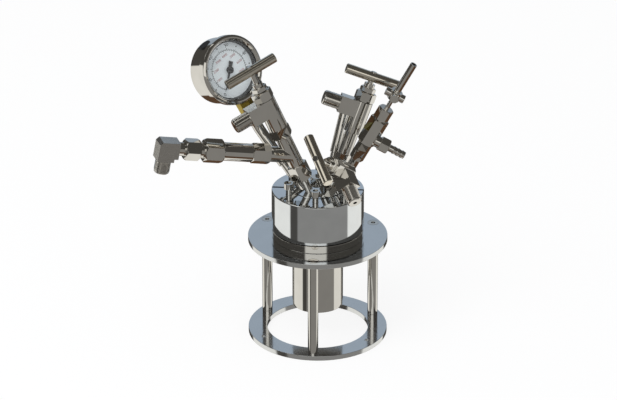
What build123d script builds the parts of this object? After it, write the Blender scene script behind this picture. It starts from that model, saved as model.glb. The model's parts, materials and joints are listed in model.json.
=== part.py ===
from build123d import *
import os
from math import cos, radians, sin, sqrt, tan

# Hydrothermal reactor on a three-post stand: a small pressure vessel closed by a
# split clamp, with three needle valves, a pressure gauge, a burst-disc arm and a
# sampling column on its lid. Millimetres, +Z up, z = 0 under the base ring, and
# the vessel's axis is the Z axis. Valve lines are drawn in their own planes: z
# runs along the line, and x points downhill, turned by the line's spin.

# ---------------------------------------------------------------- fits
FIT = 0.05                 # radial clearance of a screwed or running fit
LOOSE = 0.4                # radial clearance of parts that only pass each other

# ---------------------------------------------------------------- stand
RING_R = 70.0
RING_HOLE_R = 51.0
RING_THICK = 5.0
RING_FIXING_R = 2.25       # fixing holes of the base ring
RING_FIXING_CIRCLE_R = 60.0
POSTS = 3
FIRST_POST_ANGLE = -90.0
POST_CIRCLE_R = 62.0
POST_R = 5.2
POST_LENGTH = 97.0
PLATE_R = 70.0
PLATE_THICK = 5.0
SCREW_R = 3.0              # M6 countersunk screws, plate and ring to the posts
SCREW_HEAD_R = 5.6
SCREW_HEAD_ANGLE = 90.0
SCREW_LENGTH = 16.0
SCREW_SOCKET_AF = 4.0
SCREW_SOCKET_DEPTH = 2.2

# ---------------------------------------------------------------- vessel
VESSEL_R = 25.5
VESSEL_DEPTH_BELOW_PLATE = 71.0
VESSEL_WALL = 5.7
VESSEL_FLOOR = 8.0
SEAT_FLANGE_R = 46.0       # flange that rests on the plate
SEAT_FLANGE_THICK = 8.0
NECK_R = 31.0
GRIP_FLANGE_R = 38.0       # flanges of vessel and lid inside the clamp
VESSEL_GRIP_THICK = 8.0
GASKET_THICK = 2.0
GASKET_WIDTH = 6.0
LINER_WALL = 2.5
LINER_CLEARANCE = 0.3

# ---------------------------------------------------------------- lid and clamp
LID_FLANGE_THICK = 10.0
LID_BOSS_R = 24.5
LID_BOSS_PROUD = 0.4       # the boss stands just above the clamp
CLAMP_PROUD = 0.2          # clamp outside the seat flange
CLAMP_LIP_LOW = 10.0       # lip under the vessel's grip flange
CLAMP_LIP_HIGH = 10.6      # threaded lip over the lid's flange
CLAMP_GAP = 1.0            # between clamp and seat flange, and over the lid's flange
CLAMP_SLIT = 1.2
CLAMP_CHAMFER = 0.8
BOLTS = 6
FIRST_BOLT_ANGLE = -90.0
BOLT_CIRCLE_R = 32.0
BOLT_R = 3.0
BOLT_HEAD_R = 4.9
BOLT_HEAD_HEIGHT = 6.0
BOLT_NECK = 6.6            # shank left between the clamp and the head
BOLT_DIMPLE = 1.0          # pocket in the lid's flange under each tip
BOLT_SOCKET_AF = 5.0
BOLT_SOCKET_DEPTH = 3.0
PLUG_X = -2.3
PLUG_Y = 16.4
PLUG_AF = 12.0
PLUG_HEIGHT = 5.0
PLUG_THREAD_R = 4.5
PLUG_DEPTH = 8.0
PORT_DEPTH = 6.0           # depth of each line's socket in the lid
LINE_BORE_R = 2.0          # flow passage of all lines
NUT_FACE = 0.95            # a nut's round end face, as a share of its flats
NUT_SLOPE = 30.0           # slope of its turned corners
UNION_SLOPE = 45.0         # steeper corners of the burst-disc nuts
NUT_CUT_MARGIN = 0.5

# ---------------------------------------------------------------- needle valves
VALVE_R = 9.8
VALVE_RISE = 9.0           # body above the outlet's axis
VALVE_DROP = 24.0          # body below it
ANGLE_VALVE_DROP = 12.0    # the front valve has its inlet at the side
OUTLET_SIDE = 17.0         # square outlet block
OUTLET_REACH = 22.5        # stem axis to the block's end
OUTLET_THREAD_R = 7.2
OUTLET_THREAD_LENGTH = 17.0
THREAD_CHAMFER = 1.0
BONNET_AF = 18.5
BONNET_HEIGHT = 10.0
PACKING_AF = 14.0
PACKING_HEIGHT = 5.0
PACKING_COLLAR_R = 5.5
PACKING_COLLAR = 4.0
STEM_R = 3.0
STEM_TIP_R = 1.0
STEM_TIP_LEVEL = 1.0
STEM_PROUD = 0.5           # stem end above the handle bar
HANDLE_R = 5.0
HANDLE_LENGTH = 56.0
HANDLE_CHAMFER = 0.6
HANDLE_SHUT_LEVEL = 35.0   # handle axis above the outlet's axis, valve shut

# ---------------------------------------------------------------- left valve line
LEFT_X = -7.5
LEFT_Y = -8.5
LEFT_HEADING = 184.8
LEFT_LEAN = 23.9
LEFT_SPIN = 22.6
LEFT_OPENED = 7.0          # the stem stands this far out
NIPPLE_R = 4.0
LEFT_NIPPLE = 16.0
LEFT_HEX_AF = 18.5
LEFT_HEX_LENGTH = 17.0
LEFT_RISER_R = 7.75
LEFT_RISER_LENGTH = 33.0
LEFT_NUT_AF = 19.0
LEFT_NUT_LENGTH = 11.0

# ---------------------------------------------------------------- burst-disc arm
ARM_LEVEL = 43.5           # along the left line, above the lid
ARM_HEADING = 201.5
ARM_LEAN = 78.9
BRANCH_LENGTH = 24.0
ARM_COUPLING_AF = 18.5
ARM_COUPLING_LENGTH = 19.0
ARM_TUBE_R = 9.2
ARM_TUBE_LENGTH = 30.0
UNION_AF = 22.0
UNION_LENGTH = 20.0
HOLDER_NECK_R = 8.0
HOLDER_NECK = 4.0
HOLDER_AF = 19.5
HOLDER_HEX = 16.0
HOLDER_SPIGOT_R = 6.8
HOLDER_SPIGOT = 6.5
DISC_R = 7.0
DISC_THICK = 0.5
ELBOW_SIDE = 17.0
ELBOW_ARM = 12.5           # from the spigot to the corner's centre
ELBOW_BEVEL = 3.0
ELBOW_LEG = 12.0
ELBOW_THREAD_R = 7.5
ELBOW_THREAD = 14.0

# ---------------------------------------------------------------- gauge line
GAUGE_X = -16.5
GAUGE_Y = -0.5
GAUGE_HEADING = 148.2
GAUGE_LEAN = 45.7
GAUGE_NIPPLE = 30.0        # thin part that passes over a bolt head
GAUGE_RISER_R = 5.5
GAUGE_RISER_LENGTH = 72.7  # lid to the bend's corner
GAUGE_BEND_R = 30.0
GAUGE_STEM_HEADING = 176.8
GAUGE_STEM_LEAN = 28.5
GAUGE_STEM_LENGTH = 70.4   # bend's corner to the middle of the case
GAUGE_SPIN = 138.1         # which way the dial looks
ADAPTOR_AF = 18.0
ADAPTOR_LENGTH = 14.0
SOCKET_AF = 15.0
SOCKET_LENGTH = 12.5
SOCKET_NECK_R = 4.3
SOCKET_NECK = 7.0
CASE_R = 33.0
CASE_DEPTH = 26.0
CASE_BACK = 15.0           # back of the case behind the stem's axis
CASE_WALL = 1.5
CASE_EDGE = 2.0
ARBOR_BOSS_R = 4.0
ARBOR_BOSS = 14.0
BEZEL_RIM = 2.0            # bezel outside the case
BEZEL_DEPTH = 9.0
BEZEL_FRONT = 15.0         # bezel face in front of the stem's axis
BEZEL_INWARD = 3.5         # window inside the case
BEZEL_LIP = 2.0
GLASS_THICK = 2.0
DIAL_THICK = 1.0
DIAL_LEVEL = 5.5           # dial face in front of the stem's axis
POINTER_ARBOR_R = 1.5
POINTER_HUB_R = 3.6
POINTER_HUB = 2.4
POINTER_LENGTH = 20.0
POINTER_TAIL = 9.0
POINTER_TAIL_WIDTH = 4.5
POINTER_ROOT_WIDTH = 2.6
POINTER_TIP_WIDTH = 0.8
POINTER_THICK = 0.8
POINTER_GAP = 0.8          # blade above the dial
POINTER_ZERO = 135.0       # from twelve o'clock, towards half past seven
VENT_R = 6.5
VENT_THICK = 2.4
VENT_PROUD = 0.8
VENT_ANGLE = 7.3
VENT_LEVEL = -4.0

# ---------------------------------------------------------------- right valve line
RIGHT_X = 13.8
RIGHT_Y = 10.1
RIGHT_HEADING = 34.9
RIGHT_LEAN = 23.4
RIGHT_SPIN = 151.4
RIGHT_OPENED = 0.0
RIGHT_NIPPLE = 23.0
RIGHT_HEX_AF = 13.0
RIGHT_HEX_LENGTH = 11.0
RIGHT_RISER_R = 7.0
RIGHT_RISER_LENGTH = 23.5

# ---------------------------------------------------------------- spare port tube
SPARE_X = 8.3
SPARE_Y = 17.1
SPARE_HEADING = 58.4
SPARE_LEAN = 23.6
SPARE_NIPPLE_R = 3.5
SPARE_NIPPLE = 30.0
SPARE_R = 4.6
SPARE_LENGTH = 40.0
SPARE_PLUG = 5.0
SPARE_BORE_R = 2.6

# ---------------------------------------------------------------- sampling column
COLUMN_X = 19.0
COLUMN_Y = -2.0
COLUMN_HEADING = -5.3
COLUMN_LEAN = 28.3
COLUMN_SPIN = 5.0
COLUMN_NIPPLE = 4.0
COLUMN_TUBE_R = 5.0
COLUMN_TUBE_LENGTH = 41.0
COLUMN_STEP_AF = 13.0
COLUMN_STEP = 21.0
JACKET_AF = 17.0
JACKET_LENGTH = 30.0
COLUMN_CAP_AF = 14.0
COLUMN_CAP = 13.0
ROD_R = 2.2
ROD_LENGTH = 12.0
CROSS_R = 6.0
CROSS_HEIGHT = 10.0
CROSS_ARM_R = 4.2
CROSS_REACH = 10.0
CROSS_ARMS = 4
TIP_TUBE_R = 3.4
TIP_TUBE_BORE_R = 2.2
TIP_TUBE_LENGTH = 34.0
BARB_LEVEL = 68.0          # side hose connector, above the lid
BARB_BOSS_R = 6.0
BARB_NUT_AF = 14.0
BARB_NUT_REACH = 12.0
BARB_NUT_LENGTH = 10.0
BARB_R = 3.6
BARB_LENGTH = 18.0
BARB_RIDGES = 3
BARB_RIDGE = 0.5
BARB_BORE_R = 2.0

# ---------------------------------------------------------------- front valve line
FRONT_X = 7.3
FRONT_Y = -17.0
FRONT_HEADING = -45.4
FRONT_LEAN = 35.2
FRONT_LENGTH = 45.3        # lid to the middle of the valve
FRONT_NIPPLE = 9.0
FRONT_HEX_AF = 15.5
FRONT_HEX_LENGTH = 17.0
FRONT_INLET_R = 7.0
FRONT_STEM_HEADING = 233.8
FRONT_STEM_LEAN = 56.1
FRONT_SPIN = 49.7
FRONT_OPENED = 7.0

# ---------------------------------------------------------------- inner tubes
INNER_SOCKET = 6.0         # depth of their sockets in the lid's underside
WELL_R = 3.0
WELL_CLEARANCE = 12.0      # tip above the liner's floor
DIP_R = 2.0
DIP_BORE_R = 1.2
DIP_CLEARANCE = 20.0

# ---------------------------------------------------------------- levels and tied radii
PLATE_BOTTOM = RING_THICK + POST_LENGTH
PLATE_TOP = PLATE_BOTTOM + PLATE_THICK
VESSEL_BOTTOM = PLATE_BOTTOM - VESSEL_DEPTH_BELOW_PLATE
SEAT_FLANGE_TOP = PLATE_TOP + SEAT_FLANGE_THICK
CLAMP_BOTTOM = SEAT_FLANGE_TOP + CLAMP_GAP
GRIP_BOTTOM = CLAMP_BOTTOM + CLAMP_LIP_LOW
GRIP_TOP = GRIP_BOTTOM + VESSEL_GRIP_THICK
LID_BOTTOM = GRIP_TOP + GASKET_THICK
LID_FLANGE_TOP = LID_BOTTOM + LID_FLANGE_THICK
CLAMP_GROOVE_TOP = LID_FLANGE_TOP + CLAMP_GAP
CLAMP_TOP = CLAMP_GROOVE_TOP + CLAMP_LIP_HIGH
LID_TOP = CLAMP_TOP + LID_BOSS_PROUD
VESSEL_BORE_R = VESSEL_R - VESSEL_WALL
VESSEL_FLOOR_TOP = VESSEL_BOTTOM + VESSEL_FLOOR
LINER_R = VESSEL_BORE_R - LINER_CLEARANCE
LINER_FLOOR_TOP = VESSEL_FLOOR_TOP + LINER_WALL
GASKET_INNER_R = VESSEL_BORE_R + LINER_CLEARANCE
CLAMP_R = SEAT_FLANGE_R + CLAMP_PROUD
BEZEL_R = CASE_R + BEZEL_RIM
BEZEL_WINDOW_R = CASE_R - BEZEL_INWARD

os.makedirs("parts", exist_ok=True)


# ---------------------------------------------------------------- tools
def save(builder, label):
    """Label a finished piece and write its STEP file."""
    builder.part.label = label
    export_step(builder.part, f"parts/{label}.step")


def spun(base, spin):
    """The plane turned about its own z."""
    turn = radians(spin)
    return Plane(base.origin, x_dir=base.x_dir * cos(turn) + base.y_dir * sin(turn), z_dir=base.z_dir)


def leaning_plane(origin, heading, lean, spin=0.0):
    """A plane whose z leans from +Z towards a heading, and whose x points downhill
    before it is turned by the spin."""
    h, tilt = radians(heading), radians(lean)
    along = Vector(sin(tilt) * cos(h), sin(tilt) * sin(h), cos(tilt))
    downhill = Vector(cos(tilt) * cos(h), cos(tilt) * sin(h), -sin(tilt))
    return spun(Plane(origin, x_dir=downhill, z_dir=along), spin)


def sideways(base, level, spin=0.0):
    """A plane on the axis of base at a level, whose z is the spun x of base."""
    side = spun(base, spin)
    return Plane(side.offset(level).origin, x_dir=side.z_dir, z_dir=side.x_dir)


def bar(base, start, end, radius, mode=Mode.ADD):
    """A round bar along the z of a plane."""
    with BuildSketch(base.offset(start)) as section:
        Circle(radius)
    extrude(section.sketch, amount=end - start, mode=mode)


def square_bar(base, start, end, side):
    """A square bar along the z of a plane."""
    with BuildSketch(base.offset(start)) as section:
        Rectangle(side, side)
    extrude(section.sketch, amount=end - start)


def turned(base, corners, mode=Mode.ADD):
    """A solid turned about the z of a plane from (radius, level) corners."""
    half = Plane(base.origin, x_dir=base.x_dir, z_dir=-base.y_dir)
    with BuildSketch(half) as section:
        with BuildLine():
            Polyline(*corners, close=True)
        make_face()
    revolve(section.sketch, axis=Axis(base.origin, base.z_dir), mode=mode)


def hexagon(base, start, end, flats, slope=NUT_SLOPE):
    """A hexagonal bar whose corners are turned down to a round face at both ends."""
    with BuildSketch(base.offset(start)) as section:
        RegularPolygon(flats / 2, 6, major_radius=False)
    extrude(section.sketch, amount=end - start)
    rim, outside = NUT_FACE * flats / 2, flats / sqrt(3) + NUT_CUT_MARGIN
    fall = (outside - rim) * tan(radians(slope))
    for face, inwards in ((end, -1), (start, 1)):
        turned(base, [(rim, face), (outside, face + inwards * fall),
                      (outside, face - inwards * NUT_CUT_MARGIN), (rim, face - inwards * NUT_CUT_MARGIN)],
               Mode.SUBTRACT)


def threaded_end(base, start, end, radius):
    """A male thread's cylinder with a chamfered free end."""
    turned(base, [(0, start), (radius, start), (radius, end - THREAD_CHAMFER),
                  (radius - THREAD_CHAMFER, end), (0, end)])


def socket(base, level, depth, flats):
    """A hexagonal key socket sunk from a level."""
    with BuildSketch(base.offset(level - depth)) as section:
        RegularPolygon(flats / 2, 6, major_radius=False)
    extrude(section.sketch, amount=depth, mode=Mode.SUBTRACT)


# ---------------------------------------------------------------- line planes
def lid_point(x, y):
    return Vector(x, y, LID_TOP)


left_line = leaning_plane(lid_point(LEFT_X, LEFT_Y), LEFT_HEADING, LEFT_LEAN, LEFT_SPIN)
gauge_line = leaning_plane(lid_point(GAUGE_X, GAUGE_Y), GAUGE_HEADING, GAUGE_LEAN)
right_line = leaning_plane(lid_point(RIGHT_X, RIGHT_Y), RIGHT_HEADING, RIGHT_LEAN, RIGHT_SPIN)
spare_line = leaning_plane(lid_point(SPARE_X, SPARE_Y), SPARE_HEADING, SPARE_LEAN)
column_line = leaning_plane(lid_point(COLUMN_X, COLUMN_Y), COLUMN_HEADING, COLUMN_LEAN, COLUMN_SPIN)
front_line = leaning_plane(lid_point(FRONT_X, FRONT_Y), FRONT_HEADING, FRONT_LEAN)
arm_line = leaning_plane(left_line.offset(ARM_LEVEL).origin, ARM_HEADING, ARM_LEAN)
gauge_corner = gauge_line.offset(GAUGE_RISER_LENGTH).origin
gauge_stem = leaning_plane(gauge_corner, GAUGE_STEM_HEADING, GAUGE_STEM_LEAN, GAUGE_SPIN)
front_valve = leaning_plane(front_line.offset(FRONT_LENGTH).origin, FRONT_STEM_HEADING,
                            FRONT_STEM_LEAN, FRONT_SPIN)
lid_plane = Plane.XY.offset(LID_TOP)

# The axis, socket radius and bore radius of each line's socket in the lid.
lid_sockets = [
    (left_line, NIPPLE_R),
    (gauge_line, NIPPLE_R),
    (right_line, NIPPLE_R),
    (spare_line, SPARE_NIPPLE_R),
    (column_line, NIPPLE_R),
    (front_line, NIPPLE_R),
]

# ---------------------------------------------------------------- stand
post_spots = PolarLocations(POST_CIRCLE_R, POSTS, start_angle=FIRST_POST_ANGLE)
post_centres = [spot.position for spot in post_spots.locations]

with BuildPart() as base_ring:
    with BuildSketch():
        Circle(RING_R)
        Circle(RING_HOLE_R, mode=Mode.SUBTRACT)
        with PolarLocations(RING_FIXING_CIRCLE_R, POSTS, start_angle=FIRST_POST_ANGLE + 180 / POSTS):
            Circle(RING_FIXING_R, mode=Mode.SUBTRACT)
    extrude(amount=RING_THICK)
    with Locations(Plane.XY.rotated((180, 0, 0))):
        with PolarLocations(POST_CIRCLE_R, POSTS, start_angle=-FIRST_POST_ANGLE):
            CounterSinkHole(SCREW_R + FIT, SCREW_HEAD_R + FIT, RING_THICK, SCREW_HEAD_ANGLE)
save(base_ring, "base_ring")

with BuildPart() as support_plate:
    with BuildSketch(Plane.XY.offset(PLATE_BOTTOM)):
        Circle(PLATE_R)
        Circle(VESSEL_R + LOOSE, mode=Mode.SUBTRACT)
    extrude(amount=PLATE_THICK)
    with Locations(Plane.XY.offset(PLATE_TOP)):
        with PolarLocations(POST_CIRCLE_R, POSTS, start_angle=FIRST_POST_ANGLE):
            CounterSinkHole(SCREW_R + FIT, SCREW_HEAD_R + FIT, PLATE_THICK, SCREW_HEAD_ANGLE)
save(support_plate, "support_plate")

post_hole = SCREW_LENGTH - PLATE_THICK + 1.0
for number, centre in enumerate(post_centres, 1):
    foot = Plane(centre + Vector(0, 0, RING_THICK))
    with BuildPart() as post:
        bar(foot, 0, POST_LENGTH, POST_R)
        bar(foot, 0, post_hole, SCREW_R + FIT, Mode.SUBTRACT)
        bar(foot, POST_LENGTH - post_hole, POST_LENGTH, SCREW_R + FIT, Mode.SUBTRACT)
    save(post, f"support_post_{number}")


def countersunk_screw(head):
    """A countersunk screw hanging down the -z of a plane at its head's face."""
    turned(head, [(0, 0), (SCREW_HEAD_R, 0), (SCREW_R, SCREW_R - SCREW_HEAD_R),
                  (SCREW_R, -SCREW_LENGTH), (0, -SCREW_LENGTH)])
    socket(head, 0, SCREW_SOCKET_DEPTH, SCREW_SOCKET_AF)


with BuildPart() as post_screws:
    for centre in post_centres:
        countersunk_screw(Plane(centre + Vector(0, 0, PLATE_TOP)))
        countersunk_screw(Plane(centre, z_dir=(0, 0, -1)))
save(post_screws, "post_screws")

# ---------------------------------------------------------------- vessel
with BuildPart() as vessel:
    turned(Plane.XY, [
        (0, VESSEL_BOTTOM), (VESSEL_R, VESSEL_BOTTOM), (VESSEL_R, PLATE_TOP),
        (SEAT_FLANGE_R, PLATE_TOP), (SEAT_FLANGE_R, SEAT_FLANGE_TOP),
        (NECK_R, SEAT_FLANGE_TOP), (NECK_R, GRIP_BOTTOM), (GRIP_FLANGE_R, GRIP_BOTTOM),
        (GRIP_FLANGE_R, GRIP_TOP), (VESSEL_BORE_R, GRIP_TOP),
        (VESSEL_BORE_R, VESSEL_FLOOR_TOP), (0, VESSEL_FLOOR_TOP)])
    seat_rim = vessel.edges().filter_by(GeomType.CIRCLE).group_by(SortBy.RADIUS)[-1]
    chamfer(seat_rim, CLAMP_CHAMFER / 2)
save(vessel, "vessel")

with BuildPart() as liner:
    bar(Plane.XY, VESSEL_FLOOR_TOP, GRIP_TOP, LINER_R)
    bar(Plane.XY, LINER_FLOOR_TOP, GRIP_TOP, LINER_R - LINER_WALL, Mode.SUBTRACT)
save(liner, "liner")

with BuildPart() as gasket:
    bar(Plane.XY, GRIP_TOP, LID_BOTTOM, GASKET_INNER_R + GASKET_WIDTH)
    bar(Plane.XY, GRIP_TOP, LID_BOTTOM, GASKET_INNER_R, Mode.SUBTRACT)
save(gasket, "gasket")

# ---------------------------------------------------------------- lid and clamp
well_foot = Plane.XY.offset(LID_BOTTOM)
dip_port = right_line.offset(-PORT_DEPTH).origin
dip_foot = Plane((dip_port.X, dip_port.Y, LID_BOTTOM))

with BuildPart() as lid:
    bar(Plane.XY, LID_BOTTOM, LID_FLANGE_TOP, GRIP_FLANGE_R)
    bar(Plane.XY, LID_FLANGE_TOP, LID_TOP, LID_BOSS_R)
    with Locations(Plane.XY.offset(LID_FLANGE_TOP)):
        with PolarLocations(BOLT_CIRCLE_R, BOLTS, start_angle=FIRST_BOLT_ANGLE):
            Hole(BOLT_R + FIT, BOLT_DIMPLE)
    with Locations(lid_plane):
        with Locations((PLUG_X, PLUG_Y)):
            Hole(PLUG_THREAD_R + FIT, PLUG_DEPTH)
    for line, socket_r in lid_sockets:
        bar(line, -PORT_DEPTH, PORT_DEPTH, socket_r + FIT, Mode.SUBTRACT)
        passage = Plane(line.offset(-PORT_DEPTH).origin)
        bar(passage, LID_BOTTOM - passage.origin.Z, 0, LINE_BORE_R, Mode.SUBTRACT)
    for foot, inner_r in ((well_foot, WELL_R), (dip_foot, DIP_R)):
        bar(foot, 0, INNER_SOCKET, inner_r + FIT, Mode.SUBTRACT)
    boss_rim = lid.edges().filter_by(GeomType.CIRCLE).group_by(Axis.Z)[-1].sort_by(SortBy.RADIUS)[-1]
    chamfer(boss_rim, CLAMP_CHAMFER / 2)
save(lid, "lid")

clamp_groove_r = GRIP_FLANGE_R + LOOSE
clamp_halves = ((-1, "clamp_half_front"), (1, "clamp_half_rear"))
for side, label in clamp_halves:
    with BuildPart() as clamp_half:
        turned(Plane.XY, [
            (NECK_R + LOOSE, CLAMP_BOTTOM), (CLAMP_R, CLAMP_BOTTOM),
            (CLAMP_R, CLAMP_TOP - CLAMP_CHAMFER), (CLAMP_R - CLAMP_CHAMFER, CLAMP_TOP),
            (LID_BOSS_R + LOOSE, CLAMP_TOP), (LID_BOSS_R + LOOSE, CLAMP_GROOVE_TOP),
            (clamp_groove_r, CLAMP_GROOVE_TOP), (clamp_groove_r, GRIP_BOTTOM),
            (NECK_R + LOOSE, GRIP_BOTTOM)])
        with Locations(Plane.XY.offset(CLAMP_TOP)):
            with PolarLocations(BOLT_CIRCLE_R, BOLTS, start_angle=FIRST_BOLT_ANGLE):
                Hole(BOLT_R + FIT, CLAMP_LIP_HIGH)
        kept = Keep.TOP if side > 0 else Keep.BOTTOM
        split(bisect_by=Plane(origin=(0, side * CLAMP_SLIT / 2, 0), z_dir=(0, 1, 0)), keep=kept)
    save(clamp_half, label)

bolt_length = CLAMP_TOP + BOLT_NECK - (LID_FLANGE_TOP - BOLT_DIMPLE)
with BuildPart() as compression_bolts:
    for spot in PolarLocations(BOLT_CIRCLE_R, BOLTS, start_angle=FIRST_BOLT_ANGLE).locations:
        tip = Plane(spot.position + Vector(0, 0, LID_FLANGE_TOP - BOLT_DIMPLE))
        bar(tip, 0, bolt_length, BOLT_R)
        bar(tip, bolt_length, bolt_length + BOLT_HEAD_HEIGHT, BOLT_HEAD_R)
        socket(tip, bolt_length + BOLT_HEAD_HEIGHT, BOLT_SOCKET_DEPTH, BOLT_SOCKET_AF)
save(compression_bolts, "compression_bolts")

plug_plane = spun(Plane((PLUG_X, PLUG_Y, LID_TOP)), 90)
with BuildPart() as lid_plug:
    bar(plug_plane, -PLUG_DEPTH, 0, PLUG_THREAD_R)
    hexagon(plug_plane, 0, PLUG_HEIGHT, PLUG_AF)
save(lid_plug, "lid_plug")

with BuildPart() as thermowell:
    bar(well_foot, LINER_FLOOR_TOP + WELL_CLEARANCE - LID_BOTTOM, INNER_SOCKET, WELL_R)
save(thermowell, "thermowell")

with BuildPart() as dip_tube:
    bar(dip_foot, LINER_FLOOR_TOP + DIP_CLEARANCE - LID_BOTTOM, INNER_SOCKET, DIP_R)
    bar(dip_foot, LINER_FLOOR_TOP + DIP_CLEARANCE - LID_BOTTOM, INNER_SOCKET, DIP_BORE_R, Mode.SUBTRACT)
save(dip_tube, "dip_tube")


# ---------------------------------------------------------------- needle valves
def make_valve(name, seat, opened, side_inlet=None):
    """A needle valve: seat has its origin where stem and outlet axes cross, its z
    along the stem and its x along the outlet. A side inlet is a plane and a length."""
    drop = ANGLE_VALVE_DROP if side_inlet else VALVE_DROP
    outlet = sideways(seat, 0)
    outlet_end = OUTLET_REACH + OUTLET_THREAD_LENGTH
    with BuildPart() as body:
        bar(seat, -drop, VALVE_RISE, VALVE_R)
        square_bar(outlet, 0, OUTLET_REACH, OUTLET_SIDE)
        threaded_end(outlet, OUTLET_REACH, outlet_end, OUTLET_THREAD_R)
        if side_inlet:
            inlet, reach = side_inlet
            bar(inlet, 0, reach, FRONT_INLET_R)
            bar(inlet, 0, reach, LINE_BORE_R, Mode.SUBTRACT)
        else:
            bar(seat, -drop, 0, LINE_BORE_R, Mode.SUBTRACT)
        bar(outlet, 0, outlet_end, LINE_BORE_R, Mode.SUBTRACT)
        bar(seat, 0, VALVE_RISE, STEM_R + FIT, Mode.SUBTRACT)
    save(body, f"{name}_valve_body")

    bonnet_top = VALVE_RISE + BONNET_HEIGHT
    with BuildPart() as bonnet:
        hexagon(seat, VALVE_RISE, bonnet_top, BONNET_AF)
        bar(seat, VALVE_RISE, bonnet_top, STEM_R + FIT, Mode.SUBTRACT)
    save(bonnet, f"{name}_valve_bonnet")

    packing_top = bonnet_top + PACKING_HEIGHT + PACKING_COLLAR
    with BuildPart() as packing_nut:
        hexagon(seat, bonnet_top, bonnet_top + PACKING_HEIGHT, PACKING_AF)
        bar(seat, bonnet_top + PACKING_HEIGHT, packing_top, PACKING_COLLAR_R)
        bar(seat, bonnet_top, packing_top, STEM_R + FIT, Mode.SUBTRACT)
    save(packing_nut, f"{name}_valve_packing_nut")

    handle_level = HANDLE_SHUT_LEVEL + opened
    tip_level = STEM_TIP_LEVEL + opened
    cone = STEM_R - STEM_TIP_R
    with BuildPart() as stem:
        turned(seat, [(0, tip_level), (STEM_TIP_R, tip_level), (STEM_R, tip_level + cone),
                      (STEM_R, handle_level + HANDLE_R + STEM_PROUD),
                      (0, handle_level + HANDLE_R + STEM_PROUD)])
    save(stem, f"{name}_valve_stem")

    with BuildPart() as handle:
        across = sideways(seat, handle_level)
        half = HANDLE_LENGTH / 2
        edge_r = HANDLE_R - HANDLE_CHAMFER
        turned(across, [(0, -half), (edge_r, -half), (HANDLE_R, HANDLE_CHAMFER - half),
                        (HANDLE_R, half - HANDLE_CHAMFER), (edge_r, half), (0, half)])
        bar(seat, handle_level - HANDLE_R, handle_level + HANDLE_R, STEM_R + FIT, Mode.SUBTRACT)
    save(handle, f"{name}_valve_handle")


# ---------------------------------------------------------------- left valve line
left_hex_top = LEFT_NIPPLE + LEFT_HEX_LENGTH
left_riser_top = left_hex_top + LEFT_RISER_LENGTH
left_nut_top = left_riser_top + LEFT_NUT_LENGTH

with BuildPart() as left_connector:
    bar(left_line, -PORT_DEPTH, LEFT_NIPPLE, NIPPLE_R)
    hexagon(left_line, LEFT_NIPPLE, left_hex_top, LEFT_HEX_AF)
    bar(left_line, -PORT_DEPTH, left_hex_top, LINE_BORE_R, Mode.SUBTRACT)
save(left_connector, "left_port_connector")

with BuildPart() as left_riser:
    bar(left_line, left_hex_top, left_riser_top, LEFT_RISER_R)
    bar(arm_line, 0, BRANCH_LENGTH, LEFT_RISER_R)
    bar(left_line, left_hex_top, left_riser_top, LINE_BORE_R, Mode.SUBTRACT)
    bar(arm_line, 0, BRANCH_LENGTH, LINE_BORE_R, Mode.SUBTRACT)
save(left_riser, "left_riser_tee")

with BuildPart() as left_nut:
    hexagon(left_line, left_riser_top, left_nut_top, LEFT_NUT_AF)
    bar(left_line, left_riser_top, left_nut_top, LINE_BORE_R, Mode.SUBTRACT)
save(left_nut, "left_riser_nut")

make_valve("left", left_line.offset(left_nut_top + VALVE_DROP), LEFT_OPENED)

# ---------------------------------------------------------------- burst-disc arm
coupling_end = BRANCH_LENGTH + ARM_COUPLING_LENGTH
arm_tube_end = coupling_end + ARM_TUBE_LENGTH
union_end = arm_tube_end + UNION_LENGTH
holder_neck_end = union_end + HOLDER_NECK
holder_hex_end = holder_neck_end + HOLDER_HEX
holder_end = holder_hex_end + HOLDER_SPIGOT
elbow_centre = holder_end + ELBOW_ARM

with BuildPart() as arm_coupling:
    hexagon(arm_line, BRANCH_LENGTH, coupling_end, ARM_COUPLING_AF)
    bar(arm_line, BRANCH_LENGTH, coupling_end, LINE_BORE_R, Mode.SUBTRACT)
save(arm_coupling, "arm_coupling")

with BuildPart() as arm_tube:
    bar(arm_line, coupling_end, arm_tube_end, ARM_TUBE_R)
    bar(arm_line, coupling_end, arm_tube_end, LINE_BORE_R, Mode.SUBTRACT)
save(arm_tube, "arm_tube")

with BuildPart() as union_nut:
    hexagon(arm_line, arm_tube_end, union_end, UNION_AF, UNION_SLOPE)
    bar(arm_line, arm_tube_end, union_end, LINE_BORE_R, Mode.SUBTRACT)
    bar(arm_line, union_end - DISC_THICK, union_end, DISC_R + FIT, Mode.SUBTRACT)
save(union_nut, "burst_disc_union_nut")

with BuildPart() as burst_disc:
    bar(arm_line, union_end - DISC_THICK, union_end, DISC_R)
save(burst_disc, "burst_disc")

with BuildPart() as disc_holder:
    bar(arm_line, union_end, holder_neck_end, HOLDER_NECK_R)
    hexagon(arm_line, holder_neck_end, holder_hex_end, HOLDER_AF, UNION_SLOPE)
    bar(arm_line, holder_hex_end, holder_end, HOLDER_SPIGOT_R)
    bar(arm_line, union_end, holder_end, LINE_BORE_R, Mode.SUBTRACT)
save(disc_holder, "burst_disc_holder")

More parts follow.
